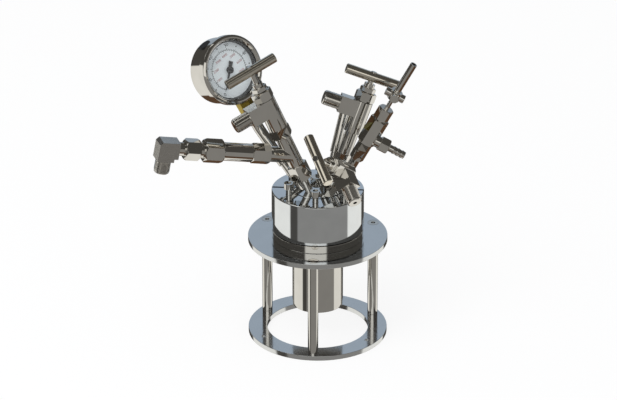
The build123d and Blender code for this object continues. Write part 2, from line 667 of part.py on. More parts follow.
elbow_turn = arm_line.offset(elbow_centre)
elbow_down = Plane(elbow_turn.origin, x_dir=elbow_turn.z_dir, z_dir=elbow_turn.x_dir)
with BuildPart() as elbow:
    square_bar(arm_line, holder_end, elbow_centre + ELBOW_SIDE / 2, ELBOW_SIDE)
    square_bar(elbow_down, 0, ELBOW_LEG, ELBOW_SIDE)
    heel = elbow.edges().filter_by(Axis(elbow_turn.origin, elbow_turn.y_dir))
    far_heel = heel.sort_by(Axis(elbow_turn.origin, elbow_turn.z_dir - elbow_turn.x_dir))[-1]
    chamfer(far_heel, ELBOW_BEVEL)
    threaded_end(elbow_down, ELBOW_LEG, ELBOW_LEG + ELBOW_THREAD, ELBOW_THREAD_R)
    bar(arm_line, holder_end, elbow_centre, LINE_BORE_R, Mode.SUBTRACT)
    bar(elbow_down, 0, ELBOW_LEG + ELBOW_THREAD, LINE_BORE_R, Mode.SUBTRACT)
save(elbow, "arm_elbow")

# ---------------------------------------------------------------- gauge
case_centre = gauge_stem.offset(GAUGE_STEM_LENGTH).origin
gauge_face = Plane(case_centre, x_dir=gauge_stem.z_dir, z_dir=gauge_stem.x_dir)
socket_top = GAUGE_STEM_LENGTH - BEZEL_R - LOOSE
socket_bottom = socket_top - SOCKET_LENGTH
adaptor_bottom = socket_bottom - ADAPTOR_LENGTH

turn = radians(gauge_line.z_dir.get_angle(gauge_stem.z_dir))
bend_reach = GAUGE_BEND_R * tan(turn / 2)
bend_start = gauge_line.offset(GAUGE_RISER_LENGTH - bend_reach).origin
bend_end = gauge_stem.offset(bend_reach).origin
with BuildPart() as gauge_riser:
    bar(gauge_line, -PORT_DEPTH, GAUGE_NIPPLE, NIPPLE_R)
    with BuildLine() as riser_path:
        Line(gauge_line.offset(GAUGE_NIPPLE).origin, bend_start)
        TangentArc(bend_start, bend_end, tangent=gauge_line.z_dir)
        Line(bend_end, gauge_stem.offset(adaptor_bottom).origin)
    with BuildSketch(gauge_line.offset(GAUGE_NIPPLE)) as riser_section:
        Circle(GAUGE_RISER_R)
    sweep(riser_section.sketch, path=riser_path.line)
save(gauge_riser, "gauge_riser")

with BuildPart() as adaptor_nut:
    hexagon(gauge_stem, adaptor_bottom, socket_bottom, ADAPTOR_AF)
save(adaptor_nut, "gauge_adaptor_nut")

with BuildPart() as gauge_socket:
    hexagon(gauge_stem, socket_bottom, socket_top, SOCKET_AF)
    bar(gauge_stem, socket_top, socket_top + SOCKET_NECK, SOCKET_NECK_R)
save(gauge_socket, "gauge_socket")

case_front = CASE_DEPTH - CASE_BACK
inner_r = CASE_R - CASE_WALL
vent_plane = sideways(gauge_face, VENT_LEVEL, VENT_ANGLE)
vent_seat = CASE_R + VENT_PROUD - VENT_THICK
with BuildPart() as gauge_case:
    turned(gauge_face, [
        (0, -CASE_BACK), (CASE_R - CASE_EDGE, -CASE_BACK), (CASE_R, CASE_EDGE - CASE_BACK),
        (CASE_R, case_front), (inner_r, case_front), (inner_r, CASE_WALL - CASE_BACK),
        (ARBOR_BOSS_R, CASE_WALL - CASE_BACK), (ARBOR_BOSS_R, ARBOR_BOSS - CASE_BACK),
        (0, ARBOR_BOSS - CASE_BACK)])
    bar(gauge_face, CASE_WALL - CASE_BACK, ARBOR_BOSS - CASE_BACK, POINTER_ARBOR_R + FIT, Mode.SUBTRACT)
    bar(gauge_stem, socket_top, socket_top + SOCKET_NECK, SOCKET_NECK_R + FIT, Mode.SUBTRACT)
    bar(vent_plane, CASE_R / 2, CASE_R, VENT_R + FIT, Mode.SUBTRACT)
save(gauge_case, "gauge_case")

with BuildPart() as vent_plug:
    bar(vent_plane, vent_seat, CASE_R + VENT_PROUD, VENT_R)
save(vent_plug, "gauge_vent_plug")

glass_back = BEZEL_FRONT - BEZEL_LIP - GLASS_THICK
with BuildPart() as bezel:
    turned(gauge_face, [
        (CASE_R + FIT, BEZEL_FRONT - BEZEL_DEPTH), (BEZEL_R, BEZEL_FRONT - BEZEL_DEPTH),
        (BEZEL_R, BEZEL_FRONT - BEZEL_LIP), (BEZEL_R - BEZEL_LIP, BEZEL_FRONT),
        (BEZEL_WINDOW_R + BEZEL_LIP, BEZEL_FRONT), (BEZEL_WINDOW_R, BEZEL_FRONT - BEZEL_LIP),
        (CASE_R + FIT, BEZEL_FRONT - BEZEL_LIP)])
save(bezel, "gauge_bezel")

with BuildPart() as glass:
    bar(gauge_face, glass_back, BEZEL_FRONT - BEZEL_LIP, CASE_R)
save(glass, "gauge_glass")

with BuildPart() as dial:
    bar(gauge_face, DIAL_LEVEL - DIAL_THICK, DIAL_LEVEL, inner_r - FIT)
    bar(gauge_face, DIAL_LEVEL - DIAL_THICK, DIAL_LEVEL, POINTER_ARBOR_R + FIT, Mode.SUBTRACT)
save(dial, "gauge_dial")

blade_level = DIAL_LEVEL + POINTER_GAP
pointer_plane = spun(gauge_face, POINTER_ZERO)
with BuildPart() as pointer:
    bar(pointer_plane, 2 * CASE_WALL - CASE_BACK, blade_level, POINTER_ARBOR_R)
    bar(pointer_plane, blade_level, blade_level + POINTER_HUB, POINTER_HUB_R)
    with BuildSketch(pointer_plane.offset(blade_level)) as blade:
        with BuildLine():
            Polyline((-POINTER_TAIL, -POINTER_TAIL_WIDTH / 2), (0, -POINTER_ROOT_WIDTH / 2),
                     (POINTER_LENGTH, -POINTER_TIP_WIDTH / 2), (POINTER_LENGTH, POINTER_TIP_WIDTH / 2),
                     (0, POINTER_ROOT_WIDTH / 2), (-POINTER_TAIL, POINTER_TAIL_WIDTH / 2), close=True)
        make_face()
    extrude(blade.sketch, amount=POINTER_THICK)
save(pointer, "gauge_pointer")

# ---------------------------------------------------------------- right valve line
right_hex_top = RIGHT_NIPPLE + RIGHT_HEX_LENGTH
right_riser_top = right_hex_top + RIGHT_RISER_LENGTH

with BuildPart() as right_connector:
    bar(right_line, -PORT_DEPTH, RIGHT_NIPPLE, NIPPLE_R)
    hexagon(right_line, RIGHT_NIPPLE, right_hex_top, RIGHT_HEX_AF)
    bar(right_line, -PORT_DEPTH, right_hex_top, LINE_BORE_R, Mode.SUBTRACT)
save(right_connector, "right_port_connector")

with BuildPart() as right_riser:
    bar(right_line, right_hex_top, right_riser_top, RIGHT_RISER_R)
    bar(right_line, right_hex_top, right_riser_top, LINE_BORE_R, Mode.SUBTRACT)
save(right_riser, "right_riser")

make_valve("right", right_line.offset(right_riser_top + VALVE_DROP), RIGHT_OPENED)

# ---------------------------------------------------------------- spare port tube
spare_top = SPARE_NIPPLE + SPARE_LENGTH
with BuildPart() as spare_tube:
    bar(spare_line, -PORT_DEPTH, SPARE_NIPPLE, SPARE_NIPPLE_R)
    bar(spare_line, SPARE_NIPPLE, spare_top, SPARE_R)
    bar(spare_line, spare_top - SPARE_PLUG, spare_top, SPARE_BORE_R + FIT, Mode.SUBTRACT)
save(spare_tube, "spare_port_tube")

with BuildPart() as spare_plug:
    bar(spare_line, spare_top - SPARE_PLUG, spare_top, SPARE_BORE_R)
    bar(spare_line, spare_top, spare_top + SPARE_PLUG / 2, SPARE_R)
save(spare_plug, "spare_port_plug")

# ---------------------------------------------------------------- sampling column
column_step_top = COLUMN_TUBE_LENGTH + COLUMN_STEP
jacket_top = column_step_top + JACKET_LENGTH
column_cap_top = jacket_top + COLUMN_CAP
rod_top = column_cap_top + ROD_LENGTH
cross_top = rod_top + CROSS_HEIGHT
tip_top = cross_top + TIP_TUBE_LENGTH
barb_side = sideways(column_line, BARB_LEVEL)

with BuildPart() as column_tube:
    bar(column_line, -PORT_DEPTH, COLUMN_NIPPLE, NIPPLE_R)
    bar(column_line, COLUMN_NIPPLE, COLUMN_TUBE_LENGTH, COLUMN_TUBE_R)
save(column_tube, "column_tube")

with BuildPart() as column_jacket:
    hexagon(column_line, COLUMN_TUBE_LENGTH, column_step_top, COLUMN_STEP_AF)
    hexagon(column_line, column_step_top, jacket_top, JACKET_AF)
    bar(barb_side, 0, BARB_NUT_REACH, BARB_BOSS_R)
save(column_jacket, "column_jacket")

with BuildPart() as column_cap:
    hexagon(column_line, jacket_top, column_cap_top, COLUMN_CAP_AF)
save(column_cap, "column_cap_nut")

with BuildPart() as cross_fitting:
    bar(column_line, column_cap_top, rod_top, ROD_R)
    bar(column_line, rod_top, cross_top, CROSS_R)
    for arm in range(CROSS_ARMS):
        lobe = sideways(column_line, rod_top + CROSS_HEIGHT / 2, 360 / CROSS_ARMS * arm)
        bar(lobe, 0, CROSS_REACH, CROSS_ARM_R)
save(cross_fitting, "cross_fitting")

with BuildPart() as tip_tube:
    bar(column_line, cross_top, tip_top, TIP_TUBE_R)
    bar(column_line, cross_top + CROSS_R, tip_top, TIP_TUBE_BORE_R, Mode.SUBTRACT)
save(tip_tube, "tip_tube")

barb_nut_end = BARB_NUT_REACH + BARB_NUT_LENGTH
with BuildPart() as hose_barb:
    hexagon(barb_side, BARB_NUT_REACH, barb_nut_end, BARB_NUT_AF)
    bar(barb_side, barb_nut_end, barb_nut_end + BARB_LENGTH, BARB_R)
    ridge_pitch = BARB_LENGTH / (BARB_RIDGES + 1)
    for ridge in range(BARB_RIDGES):
        crest = barb_nut_end + BARB_LENGTH - ridge * ridge_pitch - ridge_pitch / 2
        turned(barb_side, [(0, crest - ridge_pitch / 3), (BARB_R, crest - ridge_pitch / 3),
                           (BARB_R + BARB_RIDGE, crest - ridge_pitch / 3),
                           (BARB_R, crest + ridge_pitch / 3), (0, crest + ridge_pitch / 3)])
    bar(barb_side, barb_nut_end, barb_nut_end + BARB_LENGTH, BARB_BORE_R, Mode.SUBTRACT)
save(hose_barb, "hose_barb")

# ---------------------------------------------------------------- front valve line
front_hex_top = FRONT_NIPPLE + FRONT_HEX_LENGTH
with BuildPart() as front_connector:
    bar(front_line, -PORT_DEPTH, FRONT_NIPPLE, NIPPLE_R)
    hexagon(front_line, FRONT_NIPPLE, front_hex_top, FRONT_HEX_AF)
    bar(front_line, -PORT_DEPTH, front_hex_top, LINE_BORE_R, Mode.SUBTRACT)
save(front_connector, "front_port_connector")

front_inlet = Plane(front_valve.origin, x_dir=front_line.x_dir, z_dir=-front_line.z_dir)
make_valve("front", front_valve, FRONT_OPENED, (front_inlet, FRONT_LENGTH - front_hex_top))
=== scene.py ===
"""Hydrothermal reactor: the finishes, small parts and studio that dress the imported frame.

A pressure vessel hangs from a round plate on three posts over a base ring. A split clamp
holds its lid, and the lid carries three needle valves, a dial gauge, an elbowed relief arm,
a jacketed column and a plugged spare port.
"""

import json
import math

import bmesh
import bpy
from bpy.props import FloatProperty, FloatVectorProperty, IntProperty, PointerProperty
from mathutils import Matrix, Vector


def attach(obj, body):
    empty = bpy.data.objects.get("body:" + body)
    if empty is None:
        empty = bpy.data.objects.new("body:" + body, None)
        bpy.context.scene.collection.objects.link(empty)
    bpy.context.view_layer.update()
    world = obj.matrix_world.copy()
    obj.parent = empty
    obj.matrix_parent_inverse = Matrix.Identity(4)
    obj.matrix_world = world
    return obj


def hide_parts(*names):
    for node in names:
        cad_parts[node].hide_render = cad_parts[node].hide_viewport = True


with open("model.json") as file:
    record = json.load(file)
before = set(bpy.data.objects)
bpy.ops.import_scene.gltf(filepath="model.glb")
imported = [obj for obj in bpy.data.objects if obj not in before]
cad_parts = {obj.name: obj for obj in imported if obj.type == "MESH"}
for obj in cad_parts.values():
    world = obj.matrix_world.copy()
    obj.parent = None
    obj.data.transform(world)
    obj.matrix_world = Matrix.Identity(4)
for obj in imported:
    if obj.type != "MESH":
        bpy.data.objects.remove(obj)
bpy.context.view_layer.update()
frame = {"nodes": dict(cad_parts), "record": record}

bl_info = {
    "name": "Hydrothermal Reactor",
    "version": (1, 0, 0),
    "blender": (4, 2, 0),
    "location": "3D View > Sidebar > Reactor",
    "description": "Dresses the reactor's solids in steel, brass and glass, and sets its studio",
    "category": "Object",
}

MM = 0.001
MERGE_GAP = 0.002 * MM
FLAT_ANGLE = math.radians(0.8)
EDGE_ANGLE = math.radians(24)
SMOOTH_ANGLE = math.radians(50)
THREAD_ANGLE = math.radians(35)
PRINT_ANGLE = math.radians(30)
NOISE_RANGE = (0.3, 0.7)
FONT_SIZE_TO_HEIGHT = 1.4
SLIT_REACH = 1.0 * MM
SLIT_WIDENING = 0.6 * MM
FLOOR_GLOW = 0.86
LAMP_SPOT = (-0.7, -0.9, 1.7)

VALVES = ("left", "right", "front")
ARM_START = (-0.025062, -0.009975, 0.197770)
ARM_LINE = (-0.913012, -0.359645, 0.192522)
GAUGE_HEADING = math.radians(176.8)
GAUGE_LEAN = math.radians(28.5)
SCALE_SWEEP = 270
SCALE_START = -135
OUTER_TOP = 50
OUTER_STEP = 10
INNER_FIGURES = 7
INNER_SPACING = 37.23
MOUNTS = {mount["name"]: mount for mount in frame["record"]["mounts"]}
JOINTS = {joint["name"]: joint for joint in frame["record"]["behaviour"]["joints"]}


# ---------------------------------------------------------------------------------------
# Colour and node helpers
# ---------------------------------------------------------------------------------------


def linear(code):
    """A colour written as #RRGGBB in sRGB, as linear red, green, blue and alpha."""
    parts = [int(code[i : i + 2], 16) / 255 for i in (1, 3, 5)]
    return [p / 12.92 if p <= 0.04045 else ((p + 0.055) / 1.055) ** 2.4 for p in parts] + [1.0]


def add_node(tree, kind, inputs=None, **settings):
    """Adds one node with its settings, its constants and its links."""
    node = tree.nodes.new(kind)
    for name, value in settings.items():
        setattr(node, name, value)
    for name, value in (inputs or {}).items():
        if isinstance(value, bpy.types.NodeSocket):
            tree.links.new(value, node.inputs[name])
        else:
            node.inputs[name].default_value = value
    return node


def new_finish(name, **surface):
    """A material with one Principled surface: (material, its node tree, the surface)."""
    material = bpy.data.materials.new(name)
    material.use_nodes = True
    tree = material.node_tree
    tree.nodes.clear()
    surface = add_node(tree, "ShaderNodeBsdfPrincipled", surface)
    add_node(tree, "ShaderNodeOutputMaterial", {"Surface": surface.outputs[0]})
    return material, tree, surface


def mottle(tree, size, detail=2.0, stretch=(1, 1, 1)):
    """A noise on the piece's own coordinates whose blotches are about that size."""
    place = add_node(tree, "ShaderNodeTexCoord").outputs["Object"]
    place = add_node(tree, "ShaderNodeMapping", {"Vector": place, "Scale": stretch}).outputs[0]
    return add_node(
        tree, "ShaderNodeTexNoise", {"Vector": place, "Scale": 1 / size, "Detail": detail}
    ).outputs[0]


def lathe_marks(tree, axis, spacing):
    """A noise that changes only along the axis a part was turned on."""
    place = add_node(tree, "ShaderNodeTexCoord").outputs["Object"]
    along = add_node(
        tree, "ShaderNodeVectorMath", {0: place, 1: axis}, operation="DOT_PRODUCT"
    )
    return add_node(
        tree,
        "ShaderNodeTexNoise",
        {"W": along.outputs["Value"], "Scale": 1 / spacing, "Detail": 1.0},
        noise_dimensions="1D",
    ).outputs[0]


def lay_on(tree, surface, colour=None, roughness=None, height=None):
    """Lets patterns vary a surface: (pattern, dark, light) for its colour, (pattern, low, high)
    for its roughness and (pattern, depth in metres) for its relief."""
    if colour:
        pattern, *shades = colour
        ramp = add_node(tree, "ShaderNodeValToRGB", {"Fac": pattern})
        for stop, place, shade in zip(ramp.color_ramp.elements, NOISE_RANGE, shades):
            stop.position = place
            stop.color = shade
        tree.links.new(ramp.outputs[0], surface.inputs["Base Color"])
    if roughness:
        pattern, low, high = roughness
        spread = add_node(tree, "ShaderNodeMapRange", {
            "Value": pattern, "From Min": NOISE_RANGE[0], "From Max": NOISE_RANGE[1],
            "To Min": low, "To Max": high,
        })
        tree.links.new(spread.outputs[0], surface.inputs["Roughness"])
    if height:
        pattern, depth = height
        bump = add_node(tree, "ShaderNodeBump", {"Height": pattern, "Distance": depth})
        tree.links.new(bump.outputs[0], surface.inputs["Normal"])


def shaded(colour, share):
    """The same linear colour, darker or lighter by a share."""
    return [channel * share for channel in colour[:3]] + [1.0]


# ---------------------------------------------------------------------------------------
# Sizes and colours a user may change
# ---------------------------------------------------------------------------------------


def colour_property(name, code, description):
    """A colour setting with its sRGB default."""
    return FloatVectorProperty(
        name=name, description=description, subtype="COLOR", size=4, min=0, max=1,
        default=linear(code),
    )


def length_property(name, size, description):
    """A length setting in metres."""
    return FloatProperty(
        name=name, description=description, default=size, min=0, unit="LENGTH", precision=5
    )


class ReactorFinishSettings(bpy.types.PropertyGroup):
    """Colours and polish of the metals, paints and soft parts."""

    steel: colour_property("Steel", "#DCDAD6", "Reflection of the polished stainless steel")
    plate: colour_property("Plate", "#E0E2E4", "Reflection of the finely ground stand plates")
    lid: colour_property("Lid", "#E6EAEE", "Reflection of the lapped lid and clamp tops")
    handle: colour_property("Handle", "#E6E0D4", "Reflection of the fine-turned handles")
    brass: colour_property("Brass", "#B8A24A", "Reflection of the gauge's brass socket")
    dial: colour_property("Dial", "#EAF0F2", "Paint of the gauge's dial")
    black: colour_property("Black", "#1C1C1E", "Printing ink, pointer paint and rubber")
    red: colour_property("Red", "#9C4A4C", "Printing ink of the inner scale")
    ptfe: colour_property("Liner", "#F0F0EC", "PTFE of the liner and gasket")
    polish: FloatProperty(
        name="Polish", description="Roughness of the polished steel", default=0.03,
        min=0, max=1, subtype="FACTOR",
    )
    turning: FloatProperty(
        name="Turning", description="Roughness of the turned handles", default=0.1,
        min=0, max=1, subtype="FACTOR",
    )


class ReactorShapeSettings(bpy.types.PropertyGroup):
    """Small sizes that the solids leave to the surface."""

    edge: length_property("Edge break", 0.3 * MM, "Width of the polished edges")
    thread_pitch: length_property("Thread pitch", 1.34 * MM, "From one thread crest to the next")
    thread_depth: length_property("Thread depth", 0.45 * MM, "Crest above the thread's root")
    ink: length_property("Ink", 0.05 * MM, "Thickness of the printed dial marks")
    scale_radius: length_property("Scale radius", 20.0 * MM, "Radius of the dial's arc")
    figure_height: length_property("Figure height", 3.7 * MM, "Height of the outer figures")
    small_figure_height: length_property("Small figures", 2.5 * MM, "Height of the inner figures")
    thread_steps: IntProperty(
        name="Thread steps", description="Facets in one turn of thread", default=28, min=12, max=64
    )


class ReactorStageSettings(bpy.types.PropertyGroup):
    """Camera, floor and lights."""

    azimuth: FloatProperty(
        name="Azimuth", description="Where the camera stands round the reactor",
        default=math.radians(4.4), subtype="ANGLE",
    )
    elevation: FloatProperty(
        name="Elevation", description="How far the camera looks down",
        default=math.radians(25.4), subtype="ANGLE",
    )
    distance: length_property("Distance", 4.0, "From the camera to what it looks at")
    lens: FloatProperty(
        name="Lens", description="Focal length", default=233.4, min=1, unit="CAMERA"
    )
    target: FloatVectorProperty(
        name="Target", description="The point the camera looks at", subtype="TRANSLATION",
        size=3, default=(-9.27 * MM, -0.71 * MM, 144.8 * MM),
    )
    floor: colour_property("Floor", "#F4F4F4", "Paint of the studio floor")
    key: FloatProperty(
        name="Key light", description="Power of the soft lamp above", default=14.0, min=0,
        unit="POWER",
    )
    sky: FloatProperty(
        name="Sky", description="Strength of the light from all round", default=0.82, min=0
    )


# ---------------------------------------------------------------------------------------
# Finishes
# ---------------------------------------------------------------------------------------


def settings():
    """The three setting groups of this scene: finishes, shapes and stage."""
    scene = bpy.context.scene
    return scene.reactor_finishes, scene.reactor_shapes, scene.reactor_stage


def polished_stainless(name, colour, roughness):
    """Stainless steel turned and buffed: a near mirror whose buffing leaves soft waves about
    14 mm long, so the reflections wander slightly, and faint hairlines under a millimetre."""
    finish, tree, surface = new_finish(name, Metallic=1.0, Roughness=roughness)
    waves = mottle(tree, 14 * MM, 1.0)
    hairlines = mottle(tree, 0.8 * MM, 3.0)
    lay_on(
        tree, surface, (waves, shaded(colour, 0.95), colour),
        (hairlines, 0.75 * roughness, 1.5 * roughness), (waves, 0.02 * MM),
    )
    return finish


def ground_stainless(name, colour):
    """Stainless plate, surface ground: fine straight grain 0.5 mm apart that is drawn twice as
    coarse as real grinding so that it shows, and a soft reflection."""
    finish, tree, surface = new_finish(name, Metallic=1.0, Roughness=0.1)
    grain = mottle(tree, 1.0 * MM, 2.0, stretch=(0.03, 1, 1))
    cloud = mottle(tree, 22 * MM)
    lay_on(
        tree, surface, (cloud, shaded(colour, 0.96), colour), (grain, 0.07, 0.15),
        (grain, 0.003 * MM),
    )
    return finish


def turned_stainless(name, colour, roughness, axis):
    """Stainless bar, fine turned: rings 0.6 mm apart round the bar spread the highlight into
    long bright streaks along it."""
    finish, tree, surface = new_finish(name, Metallic=1.0, Roughness=roughness)
    rings = lathe_marks(tree, axis, 0.6 * MM)
    worn = mottle(tree, 6 * MM)
    lay_on(
        tree, surface, (worn, shaded(colour, 0.92), colour),
        (rings, 0.8 * roughness, 1.3 * roughness), (rings, 0.006 * MM),
    )
    return finish


def cast_brass(name, colour):
    """Brass bar, machined and lightly tarnished: a yellow metal with olive patches some 4 mm
    across and a blurred shine."""
    finish, tree, surface = new_finish(name, Metallic=1.0, Roughness=0.22)
    patches = mottle(tree, 4 * MM, 3.0)
    lay_on(tree, surface, (patches, shaded(colour, 0.62), colour), (patches, 0.3, 0.16))
    return finish


def sprayed_paint(name, colour, roughness, grain):
    """Sprayed paint on metal: an even colour with a faint orange peel of that grain."""
    finish, tree, surface = new_finish(name, Roughness=roughness, IOR=1.5)
    peel = mottle(tree, grain)
    lay_on(tree, surface, (peel, shaded(colour, 0.93), colour), height=(peel, 0.004 * MM))
    return finish


def moulded_rubber(name, colour):
    """Nitrile rubber, moulded: near black and matt, with a slight bloom in 2 mm clouds."""
    finish, tree, surface = new_finish(name, Roughness=0.62, IOR=1.52)
    bloom = mottle(tree, 2 * MM, 3.0)
    lay_on(tree, surface, (bloom, shaded(colour, 0.7), colour), (bloom, 0.52, 0.72))
    return finish


def skived_ptfe(name, colour):
    """PTFE, turned from bar: milky white, waxy, with light passing a millimetre into it."""
    finish, tree, surface = new_finish(name, Roughness=0.42, IOR=1.35)
    surface.inputs["Subsurface Weight"].default_value = 0.2
    surface.inputs["Subsurface Scale"].default_value = 1 * MM
    cloud = mottle(tree, 3 * MM)
    lay_on(tree, surface, (cloud, shaded(colour, 0.95), colour))
    return finish


def window_glass(name):
    """Flat instrument glass: clear, with a sharp but faint reflection; a trace of wiping haze
    in 9 mm clouds changes its roughness."""
    finish, tree, surface = new_finish(name, Roughness=0.01, IOR=1.5)
    surface.inputs["Base Color"].default_value = linear("#FAFCFC")
    surface.inputs["Transmission Weight"].default_value = 1.0
    haze = mottle(tree, 9 * MM)
    lay_on(tree, surface, roughness=(haze, 0.0, 0.02))
    return finish


def material(name):
    """The finish of that name, made the first time a piece asks for it."""
    made = bpy.data.materials.get(name)
    if made:
        return made
    finishes = settings()[0]
    steel, black = finishes.steel, finishes.black
    makers = {
        "polished_stainless_316": (polished_stainless, steel, finishes.polish),
        "lapped_stainless_316": (polished_stainless, finishes.lid, 1.6 * finishes.polish),
        # The elbow's steel colour is darkened to three quarters: painted shade. Its tenfold
        # roughness is the duller forged finish.
        "forged_stainless_316": (polished_stainless, shaded(steel, 0.75), 10 * finishes.polish),
        # Black paint for the faces inside the clamp's split: painted shade in the slit.
        "sawn_stainless_316": (sprayed_paint, black, 0.7, 0.5 * MM),
        "ground_stainless_304": (ground_stainless, finishes.plate),
        "tarnished_brass": (cast_brass, finishes.brass),
        "dial_paint_on_aluminium": (sprayed_paint, finishes.dial, 0.5, 0.7 * MM),
        "black_ink": (sprayed_paint, black, 0.55, 0.4 * MM),
        "red_ink": (sprayed_paint, finishes.red, 0.55, 0.4 * MM),
        "nitrile_rubber": (moulded_rubber, black),
        "skived_ptfe": (skived_ptfe, finishes.ptfe),
        "instrument_glass": (window_glass,),
    }
    for valve in VALVES:
        makers[f"turned_stainless_303.{valve}"] = (
            turned_stainless, finishes.handle, finishes.turning,
            MOUNTS[f"{valve}_outlet_thread"]["axis"],
        )
    make, *choices = makers[name]
    return make(name, *choices)


# ---------------------------------------------------------------------------------------
# Shaping helpers
# ---------------------------------------------------------------------------------------


def facing(origin, axis, towards=(0, 0, 1)):
    """The matrix that stands a shape made round +Z on an origin, along an axis, with its Y
    as near as can be to another direction."""
    z = Vector(axis).normalized()
    x = Vector(towards).cross(z)
    if x.length < 1e-4:
        x = Vector((1, 0, 0)).cross(z)
    x.normalize()
    y = z.cross(x)
    turn = Matrix((x, y, z)).transposed().to_4x4()
    return Matrix.Translation(Vector(origin)) @ turn


def new_piece(name, mesh, finish, body, stands_for=None, sharp=SMOOTH_ANGLE):
    """Puts a mesh in the scene as a finished piece on a body."""
    for polygon in mesh.polygons:
        polygon.use_smooth = True
    mesh.set_sharp_from_angle(angle=sharp)
    mesh.materials.clear()
    mesh.materials.append(material(finish))
    piece = bpy.data.objects.new(name, mesh)
    bpy.context.scene.collection.objects.link(piece)
    weighting = piece.modifiers.new("flat faces stay flat", "WEIGHTED_NORMAL")
    weighting.keep_sharp = True
    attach(piece, body)
    if stands_for:
        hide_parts(stands_for)
    return piece


def mesh_from(shape, name):
    """Ends a bmesh as a mesh, with its doubles merged and its faces outwards."""
    bmesh.ops.remove_doubles(shape, verts=shape.verts, dist=MERGE_GAP / 4)
    bmesh.ops.recalc_face_normals(shape, faces=shape.faces)
    mesh = bpy.data.meshes.new(name)
    shape.to_mesh(mesh)
    shape.free()
    return mesh


def sharp_edges(shape):
    """The edges where a shape's faces meet at a corner."""
    return [
        edge for edge in shape.edges
        if edge.is_manifold and edge.calc_face_angle() > EDGE_ANGLE
        and edge.calc_length() > MERGE_GAP
    ]


def break_edges(shape, width, segments=2):
    """Rounds a shape's sharp edges by a small width."""
    bmesh.ops.bevel(
        shape, geom=sharp_edges(shape), offset=width, offset_type="OFFSET", segments=segments,
        profile=0.5, affect="EDGES", material=-1, clamp_overlap=True, loop_slide=True,
    )


def body_that_holds(node):
    """The body a solid rides on."""
    for body, nodes in frame["record"]["behaviour"]["bodies"].items():
        if node in nodes:
            return body
    raise ValueError(f"no body holds {node}")


def dress(node, finish, edge=None, turn=0):
    """A merged copy of a solid with its edges broken and a finish, which stands for it. A nut
    on the relief arm may be tightened further round the arm by some degrees."""
    width = settings()[1].edge if edge is None else edge
    shape = bmesh.new()
    shape.from_mesh(frame["nodes"][node].data)
    bmesh.ops.remove_doubles(shape, verts=shape.verts, dist=MERGE_GAP)
    bmesh.ops.dissolve_limit(
        shape, angle_limit=FLAT_ANGLE, verts=shape.verts, edges=shape.edges,
        use_dissolve_boundaries=False,
    )
    if width:
        break_edges(shape, width)
    if turn:
        bmesh.ops.rotate(
            shape, verts=shape.verts, cent=ARM_START,
            matrix=Matrix.Rotation(math.radians(turn), 3, ARM_LINE),
        )
    mesh = bpy.data.meshes.new(node + "_dressed")
    shape.to_mesh(mesh)
    shape.free()
    return new_piece(node + "_dressed", mesh, finish, body_that_holds(node), node)


def second_finish(piece, finish, chosen):
    """Gives the chosen faces of a piece another finish."""
    piece.data.materials.append(material(finish))
    for face in piece.data.polygons:
        if chosen(face):
            face.material_index = 1


def turned_shape(profile, steps=64):
    """A solid of revolution round Z from (radius, height) points in metres."""
    shape = bmesh.new()
    points = [shape.verts.new((radius, 0, height)) for radius, height in profile]
    edges = [shape.edges.new(pair) for pair in zip(points, points[1:] + points[:1])]
    bmesh.ops.spin(
        shape, geom=points + edges, cent=(0, 0, 0), axis=(0, 0, 1), angle=math.tau,
        steps=steps, use_merge=True, use_duplicate=False,
    )
    return shape


def thread(name, mount, body="reactor"):
    """The helical crest of a male thread, wound round the plain pin of a mount."""
    shapes = settings()[1]
    pitch, depth, steps = shapes.thread_pitch, shapes.thread_depth, shapes.thread_steps
    root = mount["dims"]["r_mm"] * MM
    length = mount["dims"]["length_mm"] * MM
    turns = length / pitch - 1.6
    shape = bmesh.new()
    start = -length / 2 + 0.5 * pitch
    rise = [(root - 0.3 * depth, -0.46), (root + depth, -0.09), (root + depth, 0.09),
            (root - 0.3 * depth, 0.46)]
    crest = [shape.verts.new((radius, 0, start + share * pitch)) for radius, share in rise]
    face = shape.faces.new(crest)
    count = round(turns * steps)
    bmesh.ops.spin(
        shape, geom=[face] + list(face.edges) + crest, cent=(0, 0, 0), axis=(0, 0, 1),
        dvec=(0, 0, pitch / steps), angle=math.tau * count / steps, steps=count,
        use_merge=False, use_duplicate=False,
    )
    shape.transform(facing(mount["pos_m"], mount["axis"]))
    return new_piece(
        name, mesh_from(shape, name), "polished_stainless_316", body,
        sharp=THREAD_ANGLE,
    )


def write_on(shape, words, height, place):
    """Adds a line of figures, as a thin solid, to a shape."""
    text = bpy.data.curves.new("figures", "FONT")
    text.body = words
    text.size = height * FONT_SIZE_TO_HEIGHT
    text.align_x = "CENTER"
    text.align_y = "CENTER"
    text.extrude = settings()[1].ink / 2
    text.resolution_u = 3
    writer = bpy.data.objects.new("figures", text)
    bpy.context.scene.collection.objects.link(writer)
    bpy.context.view_layer.update()
    graph = bpy.context.evaluated_depsgraph_get()
    mesh = bpy.data.meshes.new_from_object(writer.evaluated_get(graph))
    mesh.transform(place)
    shape.from_mesh(mesh)
    bpy.data.objects.remove(writer)
    bpy.data.curves.remove(text)
    bpy.data.meshes.remove(mesh)


# ---------------------------------------------------------------------------------------
# Pieces
# ---------------------------------------------------------------------------------------


class ReactorOperator(bpy.types.Operator):
    """What every operator of this scene has in common."""

    bl_options = {"REGISTER", "UNDO"}


class REACTOR_OT_stand(ReactorOperator):
    """Base ring, support plate, three posts and their countersunk screws"""

    bl_idname = "reactor.stand"
    bl_label = "Stand"

    def execute(self, context):
        for node in ("base_ring", "support_plate"):
            dress(node, "ground_stainless_304")
        for node in ("support_post_1", "support_post_2", "support_post_3", "post_screws"):
            dress(node, "polished_stainless_316")
        return {"FINISHED"}


